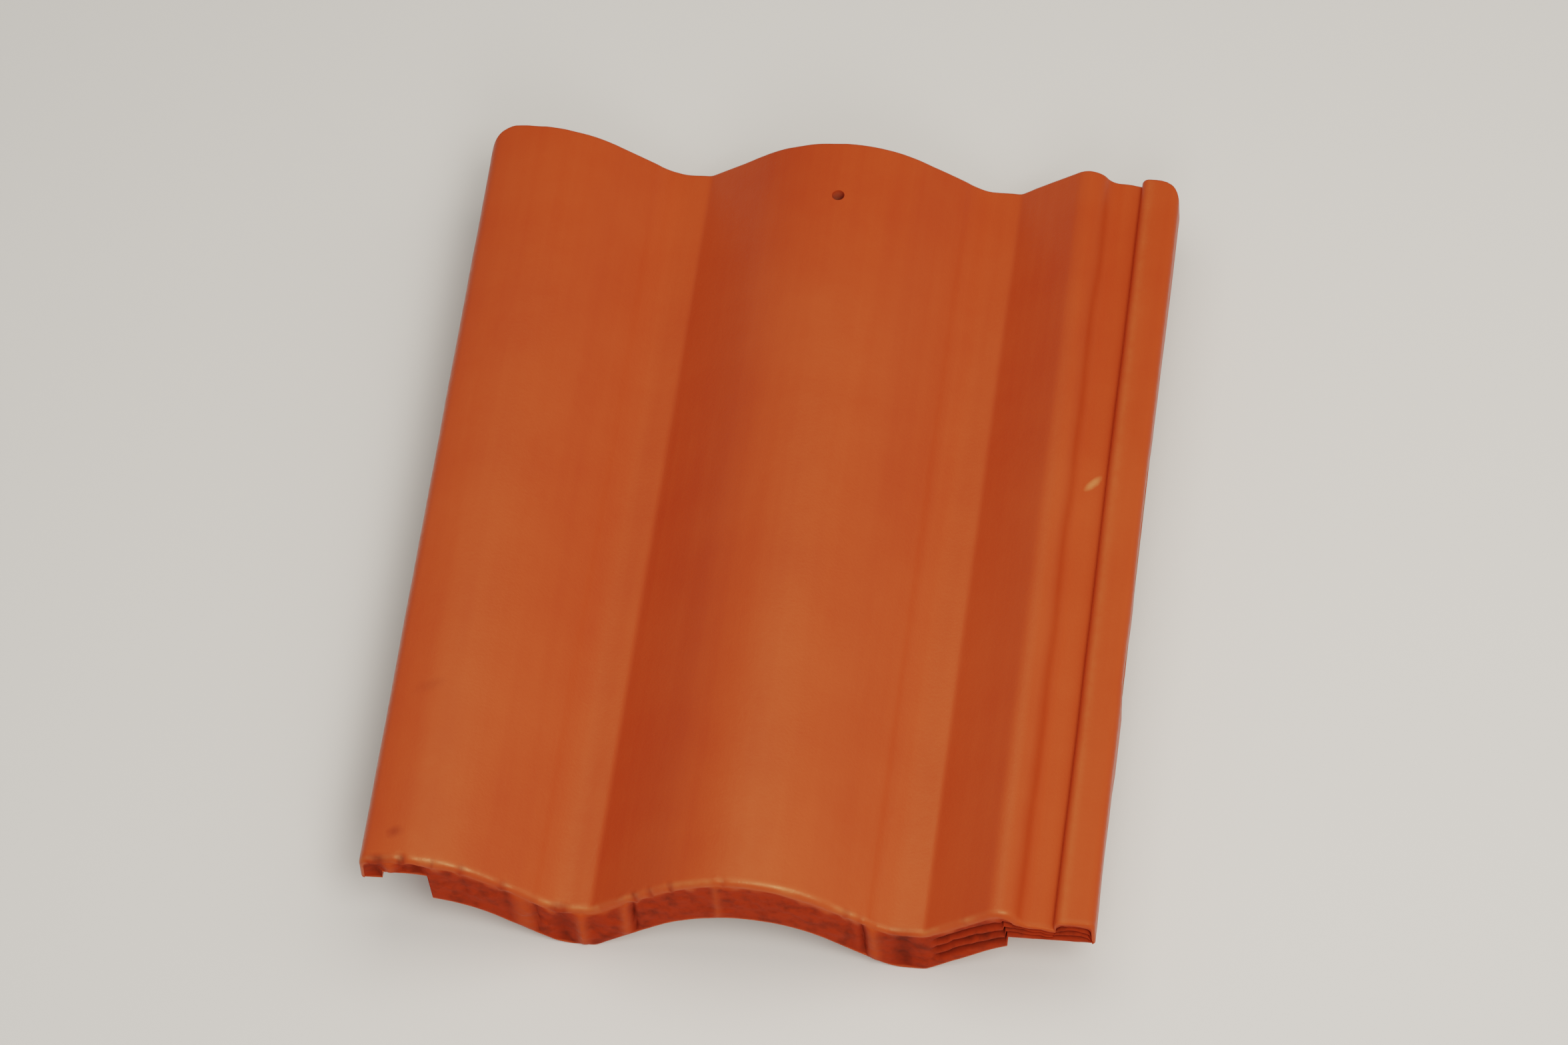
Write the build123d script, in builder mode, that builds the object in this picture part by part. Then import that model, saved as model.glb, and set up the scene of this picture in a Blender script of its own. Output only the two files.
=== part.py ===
from build123d import *
from math import asin, atan2, degrees, hypot, tan
import os

# A double-roll interlocking roof tile of concrete, lying on its nibs and its tail.
# Millimetres. X runs across the tile, Y up the slope to the head, Z out of the weather face.

# Plan
cover_width = 300
side_lap = 30
tile_length = 420
head_corner_round = 12

# Section: two rolls to a cover width, each an arc over two straight flanks, with a flat pan between them
body_thickness = 12
roll_height = 31
first_crest = 20
crest_radius = 70
pan_width = 16
foot_round = 25
kink_round = 5

# Side lock: the lip of one tile lies on the shelf of the tile to its left
lock_clearance = 1.5
joint_gap = 3
lip_width = 10
lip_depth = 5
rib_round = 4
joint_round = 6

# Underside: nibs and tail reach equally deep, so that the tile lies level
foot_depth = 18
tail_bar_width = 14
weather_bar_depth = 10
weather_bar_width = 7
weather_bar_pitch = 22
weather_bar_count = 2
lap_clearance = 1
nib_width = 38
nib_length = 18
nib_round = 2
nib_cover = 2

# Edges and fixing
arris_round = 3
nail_hole_diameter = 6
nail_hole_setback = 32

# Worked out from the sizes above, measured from the left edge and from the underside of the pans
tile_width = cover_width + side_lap
roll_pitch = cover_width / 2
flank_run = (roll_pitch - pan_width) / 2
last_crest = first_crest + cover_width
crest_level = body_thickness + roll_height
lip_level = roll_height - lip_depth
shelf_level = lip_level - lock_clearance
rib_level = roll_height - lock_clearance
lock_underside = roll_height - foot_depth + lap_clearance
rebate_left = cover_width - joint_gap
rib_left = cover_width + lip_width + lock_clearance
lock_root = last_crest - flank_run + body_thickness
bar_left = side_lap + lock_clearance
bar_right = rebate_left - joint_round
overall_height = foot_depth + crest_level

left_edge = -tile_width / 2
head = tile_length / 2
pan_middle = left_edge + first_crest + roll_pitch / 2
nib_places = [(pan_middle, head), (pan_middle + roll_pitch, head)]
bars = [(0, tail_bar_width, foot_depth)]
for number in range(1, weather_bar_count + 1):
    bars.append((number * weather_bar_pitch, weather_bar_width, weather_bar_depth))
section_plane = Plane((left_edge, head, foot_depth), x_dir=(1, 0, 0), z_dir=(0, -1, 0))

# A flank leaves the crest's arc tangentially and meets the pan one flank run from the crest
centre_rise = roll_height - crest_radius
flank_slope = atan2(centre_rise, flank_run) + asin(crest_radius / hypot(flank_run, centre_rise))


def roll_line(level, depth):
    """Draws both rolls and pans from the first crest to the last.

    The pans lie at the level given, and the rolls as far inside the weather face as the depth given. A pan
    starts softly at the foot of one roll and ends at a sharp kink under the next.
    """
    radius = crest_radius - depth
    centre = level + roll_height - radius
    run = flank_run - depth * tan(flank_slope / 2)
    for crest in (first_crest, first_crest + roll_pitch):
        next_crest = crest + roll_pitch
        fall = CenterArc((crest, centre), radius, 90, -degrees(flank_slope))
        rise = CenterArc((next_crest, centre), radius, 90, degrees(flank_slope))
        foot = (crest + run, level)
        kink = (next_crest - run, level)
        FilletPolyline(fall @ 1, foot, kink, rise @ 1, radius=(foot_round, kink_round))


def roll_band(upper_level, upper_depth, lower_level, lower_depth):
    """Draws the closed outline between two roll lines."""
    roll_line(upper_level, upper_depth)
    roll_line(lower_level, lower_depth)
    for crest in (first_crest, last_crest):
        Line((crest, upper_level + roll_height), (crest, lower_level + roll_height))


with BuildPart() as roof_tile:
    # Cross section of the tile, the same from head to tail
    with BuildSketch(section_plane) as section:
        with BuildLine():
            roll_band(body_thickness, 0, 0, body_thickness)
        make_face()
        # Overlock: the first roll carried past its crest to a lip
        with BuildLine():
            crest_centre = (first_crest, crest_level - crest_radius)
            shoulder_turn = degrees(asin(first_crest / crest_radius))
            shoulder = CenterArc(crest_centre, crest_radius, 90, shoulder_turn)
            Polyline(
                shoulder @ 0,
                (first_crest, roll_height),
                (lip_width, roll_height),
                (lip_width, lip_level),
                (0, lip_level),
                shoulder @ 1,
            )
        make_face()
        # Underlock: the last roll cut back, with a shelf and an outer rib in its place
        with BuildLine():
            Polyline(
                (rebate_left, shelf_level),
                (tile_width, shelf_level),
                (tile_width, crest_level),
                (rebate_left, crest_level),
                close=True,
            )
        make_face(mode=Mode.SUBTRACT)
        with BuildLine():
            Polyline(
                (lock_root, lock_underside),
                (tile_width, lock_underside),
                (tile_width, rib_level),
                (rib_left, rib_level),
                (rib_left, shelf_level),
                (rebate_left, shelf_level),
                (rebate_left, roll_height),
                close=True,
            )
        make_face()
        rib_corners = section.vertices().filter_by_position(Axis.X, rib_left - 1, tile_width + 1)
        fillet(rib_corners.sort_by(Axis.Y)[-2:], rib_round)
        lip_corners = section.vertices().filter_by_position(Axis.X, -joint_gap, lip_width / 2)
        roll_corners = section.vertices().filter_by_position(Axis.X, rebate_left - joint_gap, cover_width)
        fillet([lip_corners.sort_by(Axis.Y)[-1], roll_corners.sort_by(Axis.Y)[-1]], joint_round)
    extrude(amount=tile_length)

    # Outline in plan, with the head corners rounded
    with BuildSketch() as plan:
        Rectangle(tile_width, tile_length)
        fillet(plan.vertices().group_by(Axis.Y)[-1], head_corner_round)
    extrude(amount=overall_height, mode=Mode.INTERSECT)

    # Rounded upper edge along the tail
    weather_faces = roof_tile.faces().filter_by(lambda face: face.normal_at().Z > 0)
    rolls = weather_faces.filter_by_position(Axis.X, left_edge, left_edge + rebate_left)
    tail_arris = rolls.edges().group_by(Axis.Y)[0]
    fillet(tail_arris, arris_round)

    # Tail bar and weather bars, each following the rolls so that it beds on the tile below
    for setback, width, depth in bars:
        with BuildSketch(section_plane.offset(tile_length - setback - width)) as bar:
            with BuildLine():
                roll_band(body_thickness / 2, body_thickness / 2, -depth, -lap_clearance)
            make_face()
            with Locations(((bar_left + bar_right) / 2, 0)):
                Rectangle(bar_right - bar_left, 2 * overall_height, mode=Mode.INTERSECT)
        extrude(amount=width)

    # Hanging nibs under the pans, flush with the head
    with BuildSketch(Plane.XY.offset(foot_depth + body_thickness - nib_cover)):
        with Locations(*nib_places):
            Rectangle(nib_width, nib_length, align=(Align.CENTER, Align.MAX))
    extrude(amount=nib_cover - body_thickness - foot_depth)
    nib_feet = roof_tile.faces().group_by(Axis.Z)[0].filter_by_position(Axis.Y, 0, head)
    fillet(nib_feet.edges(), nib_round)

    # Nail hole through the crest of the middle roll
    with Locations((left_edge + first_crest + roll_pitch, head - nail_hole_setback, overall_height)):
        Hole(nail_hole_diameter / 2)

roof_tile.part.label = "roof_tile"
os.makedirs("parts", exist_ok=True)
export_step(roof_tile.part, "parts/roof_tile.step")
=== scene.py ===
"""Studio scene of one interlocking concrete roof tile with two rolls.

The tile is one casting. Its weather face, underside, cut ends and nail hole form one closed surface, worked
out here with more detail than the CAD solid has, in the same place and to the same sizes.
"""

import logging
import math
from dataclasses import dataclass
from enum import Enum
from typing import Any

import bpy
import numpy as np
from mathutils import Matrix, Vector


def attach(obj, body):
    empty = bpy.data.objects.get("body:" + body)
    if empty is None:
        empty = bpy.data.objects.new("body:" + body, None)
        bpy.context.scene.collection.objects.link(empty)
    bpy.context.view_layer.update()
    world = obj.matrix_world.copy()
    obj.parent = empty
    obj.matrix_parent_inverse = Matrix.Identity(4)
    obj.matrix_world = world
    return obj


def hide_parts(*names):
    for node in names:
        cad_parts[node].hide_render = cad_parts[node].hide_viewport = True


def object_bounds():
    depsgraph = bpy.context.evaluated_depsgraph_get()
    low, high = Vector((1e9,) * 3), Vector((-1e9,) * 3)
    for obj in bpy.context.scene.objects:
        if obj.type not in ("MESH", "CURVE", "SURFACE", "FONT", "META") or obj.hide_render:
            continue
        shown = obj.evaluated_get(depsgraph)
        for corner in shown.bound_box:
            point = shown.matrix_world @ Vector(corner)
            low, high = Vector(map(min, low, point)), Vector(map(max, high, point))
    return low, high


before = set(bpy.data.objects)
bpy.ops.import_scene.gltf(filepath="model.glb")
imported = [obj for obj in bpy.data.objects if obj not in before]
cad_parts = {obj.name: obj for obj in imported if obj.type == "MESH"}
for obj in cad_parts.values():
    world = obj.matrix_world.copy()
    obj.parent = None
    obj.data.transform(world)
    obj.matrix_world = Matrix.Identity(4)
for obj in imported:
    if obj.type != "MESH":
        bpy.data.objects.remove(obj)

CAD_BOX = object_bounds()
MM = 0.001

# The casting's box is centred on the origin and stands on the floor, so its upper corner gives its sizes.
HALF_WIDTH, HALF_LENGTH, CREST_TOP = (round(edge / MM, 3) for edge in CAD_BOX[1])
SIDE_LAP = 30.0

log = logging.getLogger("roof_tile_scene")
Array = np.ndarray
Tree = bpy.types.NodeTree


class Layer(Enum):
    """Values that each point of the casting carries for its finish."""

    COAT = "coat"
    WEAR_AND_HIGHLIGHT = "wear_and_highlight"
    CUT = "cut"
    GLOSS = "gloss"
    PAINTED_SHADE = "hollow"


def linear(code: str) -> tuple[float, float, float, float]:
    """Turns an sRGB hex colour into linear light.

    Args:
        code: Six hex digits after a hash sign.

    Returns:
        Linear red, green and blue, and an alpha of one.
    """
    parts = [int(code[place:place + 2], 16) / 255 for place in (1, 3, 5)]
    light = [part / 12.92 if part <= 0.04045 else ((part + 0.055) / 1.055) ** 2.4 for part in parts]
    return light[0], light[1], light[2], 1.0


def noise(across: Array, along: Array | float, seed: int) -> Array:
    """Smooth unevenness with about one swing per unit.

    Formula: every whole-number point of a wrapped 64 by 64 table has a random height, and a point between
    four of them takes their blend, weighted by the quintic curve 6t^5 - 15t^4 + 10t^3 each way.

    Args:
        across: First coordinate, in units of one swing.
        along: Second coordinate, in units of one swing.
        seed: Picks the table.

    Returns:
        Heights between minus one and one, in the shape of the coordinates.
    """
    table = np.random.default_rng(seed).uniform(-1.0, 1.0, (64, 64))
    across, along = np.broadcast_arrays(np.asarray(across, float), np.asarray(along, float))
    first, second = np.floor(across).astype(int), np.floor(along).astype(int)
    part_a, part_b = across - first, along - second
    blend_a = part_a ** 3 * (part_a * (6 * part_a - 15) + 10)
    blend_b = part_b ** 3 * (part_b * (6 * part_b - 15) + 10)
    a0, a1, b0, b1 = first % 64, (first + 1) % 64, second % 64, (second + 1) % 64
    near = table[a0, b0] * (1 - blend_a) + table[a1, b0] * blend_a
    far = table[a0, b1] * (1 - blend_a) + table[a1, b1] * blend_a
    return near * (1 - blend_b) + far * blend_b


def ramp(value: Array, low: float, high: float) -> Array:
    """Rises smoothly from nought at the low value to one at the high one, by 3t^2 - 2t^3."""
    part = np.clip((np.asarray(value, float) - low) / (high - low), 0.0, 1.0)
    return part * part * (3 - 2 * part)


def plateau(value: Array, start: float, end: float, draft: float) -> Array:
    """One between start and end, falling in a straight line to nought within the draft outside them."""
    inside = np.minimum(np.asarray(value, float) - start, end - np.asarray(value, float))
    return np.clip(1 + inside / draft, 0.0, 1.0)


def hump(value: Array, middle: float, half_width: float) -> Array:
    """A bell of height one: exp of minus the square of the distance over the half width."""
    return np.exp(-((np.asarray(value, float) - middle) / half_width) ** 2)


def stations(fine: list[Array], coarse: Array, apart: float) -> Array:
    """Merges lines that must be kept with evenly spaced ones.

    Args:
        fine: Groups of lines that an edge of the casting needs.
        coarse: Evenly spaced lines, dropped where one of the fine lines is near.
        apart: Least distance between a coarse line and a fine one.

    Returns:
        All lines, sorted, without repeats.
    """
    kept = np.unique(np.round(np.concatenate(fine), 4))
    clear = np.abs(coarse[:, None] - kept[None, :]).min(axis=1) > apart
    return np.sort(np.concatenate([kept, coarse[clear]]))


def polyline(x: Array | float, z: Array | float) -> Array:
    """Rows of x and z from two arrays, or from one array and the number that all its points share."""
    return np.column_stack(np.broadcast_arrays(x, z))


def add_node(tree: Tree, kind: str, settings: dict[str, Any], links: dict[Any, Any]) -> bpy.types.Node:
    """Adds one shader node.

    Args:
        tree: Node tree of the material or the world.
        kind: Blender's name of the node type, without the ShaderNode that it starts with.
        settings: Properties of the node.
        links: For each input, by name or number, the output that feeds it or the value that it is set to.

    Returns:
        The new node.
    """
    node = tree.nodes.new("ShaderNode" + kind)
    for name, value in settings.items():
        setattr(node, name, value)
    for name, value in links.items():
        if isinstance(value, bpy.types.NodeSocket):
            tree.links.new(value, node.inputs[name])
        else:
            node.inputs[name].default_value = value
    return node


def add_object(name: str, data: bpy.types.ID) -> bpy.types.Object:
    """Adds an object to the scene.

    Args:
        name: Its name.
        data: Its mesh, light or camera.

    Returns:
        The object, linked into the scene's own collection.
    """
    added = bpy.data.objects.new(name, data)
    bpy.context.scene.collection.objects.link(added)
    return added


@dataclass(frozen=True)
class Mark:
    """A small mark on the coat.

    Attributes:
        x: Its middle across the tile, in millimetres.
        y: Its middle along the tile, in millimetres.
        half_length: Half its length, in millimetres.
        half_width: Half its width, in millimetres.
        turn: Angle of its length from across, in degrees.
        tone: Its colour.
        strength: How much of the coat's colour it hides in its middle.
    """

    x: float
    y: float
    half_length: float
    half_width: float
    turn: float
    tone: str
    strength: float


@dataclass(frozen=True)
class CoatedConcrete:
    """Extruded concrete with a sprayed acrylic coat.

    The coat is terracotta, evenly pigmented and half glossy. Sand grains under it break its highlights, the
    extruder leaves faint lengthwise lines, and the film thins to a paler tone on sharp edges, a tone that
    also stands in as painted highlight there. The cut tail takes the coat in patches; its red is darker than
    the coat partly as painted shade, and painted shade darkens its grooves and hollows. The underside is bare
    concrete, tinted through and matt.
    """

    name: str = "acrylic_coated_concrete"
    coat: str = "#AB3B1A"
    coat_deep: str = "#A73718"
    coat_pale: str = "#AF3F1D"
    # Paler tone of the film on sharp edges, also used as painted highlight on the tail's rounding, the rib
    # and the joint.
    thin_film_and_highlight: str = "#C06A3E"
    # Red of the cut concrete and its darker patches; both are also darkened as painted shade for the end
    # faces.
    cut_red_and_shade: str = "#8F280F"
    cut_dark_and_shade: str = "#5C1D0E"
    # Painted shade for the grooves and hollows of the cut tail.
    painted_shade: str = "#45160C"
    bare: str = "#A8583A"
    bare_grey: str = "#99705C"
    glint: str = "#FFD89A"
    grain_mm: float = 1.3
    peel_mm: float = 5.0
    mottle_mm: float = 7.0
    cloud_mm: float = 70.0
    streak_mm: float = 6.0
    peel_swing: tuple[float, float] = (0.3, 0.7)
    peel_share: float = 0.45
    streak_share: float = 0.25
    streak_stretch: float = 0.03
    fine_share: float = 0.55
    bump_strength: float = 0.35
    bump_mm: float = 0.5
    patch_swing: tuple[float, float] = (0.45, 0.7)
    patch_depth: float = 0.8
    coat_roughness: tuple[float, float] = (0.36, 0.46)
    cut_roughness: float = 0.62
    bare_roughness: float = 0.92
    film_ior: float = 1.49
    coat_shine: float = 0.9
    dull_shine: float = 0.05
    mark_edge: tuple[float, float] = (0.7, 1.5)
    marks: tuple[Mark, ...] = (
        Mark(-150.0, -195.0, 5.0, 4.0, 20.0, "#7E2410", 0.7),
        Mark(-146.0, -116.0, 10.0, 4.0, 30.0, "#8A2C14", 0.35),
        Mark(140.0, 33.0, 6.5, 2.2, 55.0, "#CC7C4A", 0.6),
    )

    def build(self) -> bpy.types.Material:
        """Makes the material.

        Returns:
            A node material that reads Object coordinates and the casting's own point values.
        """
        material = bpy.data.materials.new(self.name)
        material.use_nodes = True
        tree = material.node_tree
        tree.nodes.clear()
        place = add_node(tree, "TexCoord", {}, {}).outputs["Object"]
        # The last value carries the painted shade in the tail's grooves and hollows.
        coat, wear_and_highlight, cut, gloss, hollow = (self.value(tree, layer) for layer in Layer)
        streak_place = add_node(
            tree, "Mapping", {}, {"Vector": place, "Scale": (1.0, self.streak_stretch, 1.0)}
        ).outputs["Vector"]
        cloud = self.pattern(tree, place, self.cloud_mm, 3.0)
        streak = self.pattern(tree, streak_place, self.streak_mm, 2.0)
        grain = self.pattern(tree, place, self.grain_mm, 3.0)
        peel = self.pattern(tree, place, self.peel_mm, 2.0)
        mottle = self.pattern(tree, place, self.mottle_mm, 4.0)
        colour = self.colour(tree, place, [coat, wear_and_highlight, cut, hollow], [cloud, streak, grain, peel, mottle])
        film = self.spread(tree, peel, self.peel_swing, self.coat_roughness)
        faced = self.between(tree, cut, film, self.cut_roughness)
        rough = self.between(tree, coat, self.bare_roughness, faced)
        shine = self.between(tree, gloss, self.dull_shine, self.coat_shine)
        relief = self.between(tree, self.peel_share, grain, peel)
        bump = add_node(
            tree, "Bump", {},
            {"Strength": self.bump_strength, "Distance": self.bump_mm * MM, "Height": relief},
        ).outputs["Normal"]
        surface = add_node(
            tree, "BsdfPrincipled", {},
            {"Base Color": colour, "Roughness": rough, "IOR": self.film_ior, "Normal": bump,
             "Specular IOR Level": shine, "Specular Tint": linear(self.glint)},
        ).outputs["BSDF"]
        add_node(tree, "OutputMaterial", {}, {"Surface": surface})
        return material

    @staticmethod
    def value(tree: Tree, layer: Layer) -> Any:
        """Output of one of the values that each point of the casting carries."""
        return add_node(tree, "Attribute", {"attribute_name": layer.value}, {}).outputs["Fac"]

    @staticmethod
    def between(tree: Tree, share: Any, first: Any, second: Any) -> Any:
        """Output of a number between two others, by its share of the second."""
        links = {0: share, 2: first, 3: second}
        return add_node(tree, "Mix", {"data_type": "FLOAT"}, links).outputs[0]

    @staticmethod
    def blend(tree: Tree, share: Any, first: Any, second: Any) -> Any:
        """Output of a colour between two others, by its share of the second."""
        links = {0: share, 6: first, 7: second}
        return add_node(tree, "Mix", {"data_type": "RGBA"}, links).outputs[2]

    @staticmethod
    def spread(tree: Tree, value: Any, source: tuple[float, float], target: tuple[float, float]) -> Any:
        """Carries a number from one range to another.

        Args:
            tree: The material's node tree.
            value: Output of the number.
            source: Range that the number runs over.
            target: Range that it is carried to.

        Returns:
            Output of the carried number.
        """
        names = ("Value", "From Min", "From Max", "To Min", "To Max")
        links = dict(zip(names, (value, *source, *target)))
        return add_node(tree, "MapRange", {}, links).outputs["Result"]

    def pattern(self, tree: Tree, place: Any, size_mm: float, detail: float) -> Any:
        """Unevenness of a real size in millimetres, with finer unevenness in it."""
        links = {"Vector": place, "Scale": 1000.0 / size_mm, "Detail": detail, "Roughness": self.fine_share}
        return add_node(tree, "TexNoise", {}, links).outputs["Fac"]

    def spot(self, tree: Tree, place: Any, ragged: Any, mark: Mark) -> Any:
        """Share of a mark at each point.

        Args:
            tree: The material's node tree.
            place: Output of the Object coordinates.
            ragged: Output of the pattern that frays the mark's edge.
            mark: The mark.

        Returns:
            Output of the share, full in the middle and falling to nought at a frayed edge.
        """
        links = {
            "Vector": place,
            "Location": (mark.x * MM, mark.y * MM, 0.0),
            "Rotation": (0.0, 0.0, math.radians(mark.turn)),
            "Scale": (mark.half_length * MM, mark.half_width * MM, 1.0),
        }
        centred = add_node(tree, "Mapping", {"vector_type": "TEXTURE"}, links)
        to_middle = {0: centred.outputs["Vector"]}
        away = add_node(tree, "VectorMath", {"operation": "LENGTH"}, to_middle).outputs["Value"]
        frayed = add_node(tree, "Math", {"operation": "ADD"}, {0: away, 1: ragged}).outputs[0]
        return self.spread(tree, frayed, self.mark_edge, (mark.strength, 0.0))

    def colour(self, tree: Tree, place: Any, layers: list[Any], patterns: list[Any]) -> Any:
        """Lays the coat's tones and marks, its paler edges, the cut tail and the bare concrete over each
        other.
        The paler edges are the film thinning there and also stand in as painted highlight.

        Args:
            tree: The material's node tree.
            place: Output of the Object coordinates.
            layers: Outputs of the coat, the share of paler edges and painted highlight, the cut, and the
                painted shade in hollows.
            patterns: Outputs of the cloud, streak, grain, peel and mottle patterns.

        Returns:
            Output of the finished colour.
        """
        coat, wear_and_highlight, cut, hollow = layers
        cloud, streak, grain, peel, mottle = patterns
        shade = self.between(tree, self.streak_share, cloud, streak)
        tone = add_node(tree, "ValToRGB", {}, {"Fac": shade})
        stops = tone.color_ramp.elements
        stops[0].position, stops[0].color = 0.36, linear(self.coat_deep)
        stops[1].position, stops[1].color = 0.66, linear(self.coat_pale)
        stops.new(0.5).color = linear(self.coat)
        marked = tone.outputs["Color"]
        for mark in self.marks:
            share = self.spot(tree, place, mottle, mark)
            marked = self.blend(tree, share, marked, linear(mark.tone))
        # Paler edges: the film thinning, and painted highlight along the tail's rounding, the rib and the
        # joint.
        film_and_highlight_share = add_node(
            tree, "Math", {"operation": "MULTIPLY", "use_clamp": True}, {0: wear_and_highlight, 1: peel}
        ).outputs[0]
        film_and_highlight = self.blend(tree, film_and_highlight_share, marked, linear(self.thin_film_and_highlight))
        # Colour of the cut faces, darker than the coat partly as painted shade.
        patch = self.spread(tree, mottle, self.patch_swing, (0.0, self.patch_depth))
        broken = self.blend(tree, patch, linear(self.cut_red_and_shade), linear(self.cut_dark_and_shade))
        faced = self.blend(tree, cut, film_and_highlight, broken)
        # Painted shade in the tail's grooves and hollows.
        with_painted_shade = self.blend(tree, hollow, faced, linear(self.painted_shade))
        raw = self.blend(tree, grain, linear(self.bare), linear(self.bare_grey))
        return self.blend(tree, coat, raw, with_painted_shade)


@dataclass(frozen=True)
class RollSection:
    """Line of the rolls and pans across the tile, in millimetres.

    Each roll is an arc over two straight flanks that leave it tangentially. Its right flank runs softly into
    a flat pan, and the pan ends at a sharp kink under the left flank of the next roll.
    """

    first_crest: float = 20.0 - HALF_WIDTH
    pitch: float = (2 * HALF_WIDTH - SIDE_LAP) / 2
    roll_height: float = 31.0
    crest_radius: float = 70.0
    pan_width: float = 16.0
    foot_round: float = 25.0
    kink_round: float = 5.0

    def run(self) -> float:
        """Distance from a crest to the corner where its flank meets the pan on the weather face."""
        return (self.pitch - self.pan_width) / 2

    def slope(self) -> float:
        """Angle of the flank that leaves the crest's arc tangentially and meets the pan one run away."""
        rise = self.roll_height - self.crest_radius
        return math.atan2(rise, self.run()) + math.asin(self.crest_radius / math.hypot(self.run(), rise))

    def rounding(self, radius: float, depth: float) -> tuple[float, float]:
        """Distances from the crest at which the rounding between flank and pan starts and ends."""
        end = self.run() + (radius - depth) * math.tan(self.slope() / 2)
        return end - radius * math.sin(self.slope()), end

    def side(self, reach: Array, radius: float, level: float, depth: float) -> Array:
        """Height on one side of a crest.

        Formula: a circle's arc about a centre under the crest, then the straight flank at the angle of slope,
        then a circle's arc that rounds the corner to the pan, then the level of the pan.

        Args:
            reach: Distances from the crest.
            radius: Radius of the rounding at the corner.
            level: Height of the pan.
            depth: How far inside the weather face the line runs.

        Returns:
            Heights in the shape of the distances.
        """
        angle = self.slope()
        inner = self.crest_radius - depth
        start, end = self.rounding(radius, depth)
        arc = level + self.roll_height - inner + np.sqrt(np.maximum(inner ** 2 - reach ** 2, 0.0))
        flank = level + (self.run() - depth * math.tan(angle / 2) - reach) * math.tan(angle)
        corner = level + radius - np.sqrt(np.maximum(radius ** 2 - (end - reach) ** 2, 0.0))
        tests = [reach < inner * math.sin(angle), reach < start, reach < end]
        return np.select(tests, [arc, flank, corner], level)

    def height(self, x: Array, level: float, depth: float) -> Array:
        """Height of the rolls and pans over x.

        Formula: the higher of the right side of the crest before x and the left side of the crest after it.

        Args:
            x: Places across.
            level: Height of the pans.
            depth: How far inside the weather face the line runs.

        Returns:
            Heights in the shape of the places.
        """
        past = np.mod(np.asarray(x, float) - self.first_crest, self.pitch)
        falling = self.side(past, self.foot_round, level, depth)
        rising = self.side(self.pitch - past, self.kink_round, level, depth)
        return np.maximum(falling, rising)


@dataclass(frozen=True)
class Blemish:
    """A flaw of the cut tail, in millimetres.

    Attributes:
        x: Its middle across the tile.
        half_width: Half its width.
        chip: How far it breaks the upper edge back.
        proud: How far it stands out of the cut face, or less than nought for a hollow.
        film: Share of the face that the coat covers there.
    """

    x: float
    half_width: float
    chip: float
    proud: float
    film: float

    def share(self, x: Array) -> Array:
        """How much of the flaw there is over x: all of it in its middle."""
        return hump(x, self.x, self.half_width)


@dataclass(frozen=True)
class Relief:
    """Unevenness of the casting: its height and its swings' size across and along, in millimetres."""

    height: float
    across: float
    along: float
    seed: int

    def over(self, across: Array, along: Array) -> Array:
        """Heights at places across and along."""
        return self.height * noise(across / self.across, along / self.along, self.seed)


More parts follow.
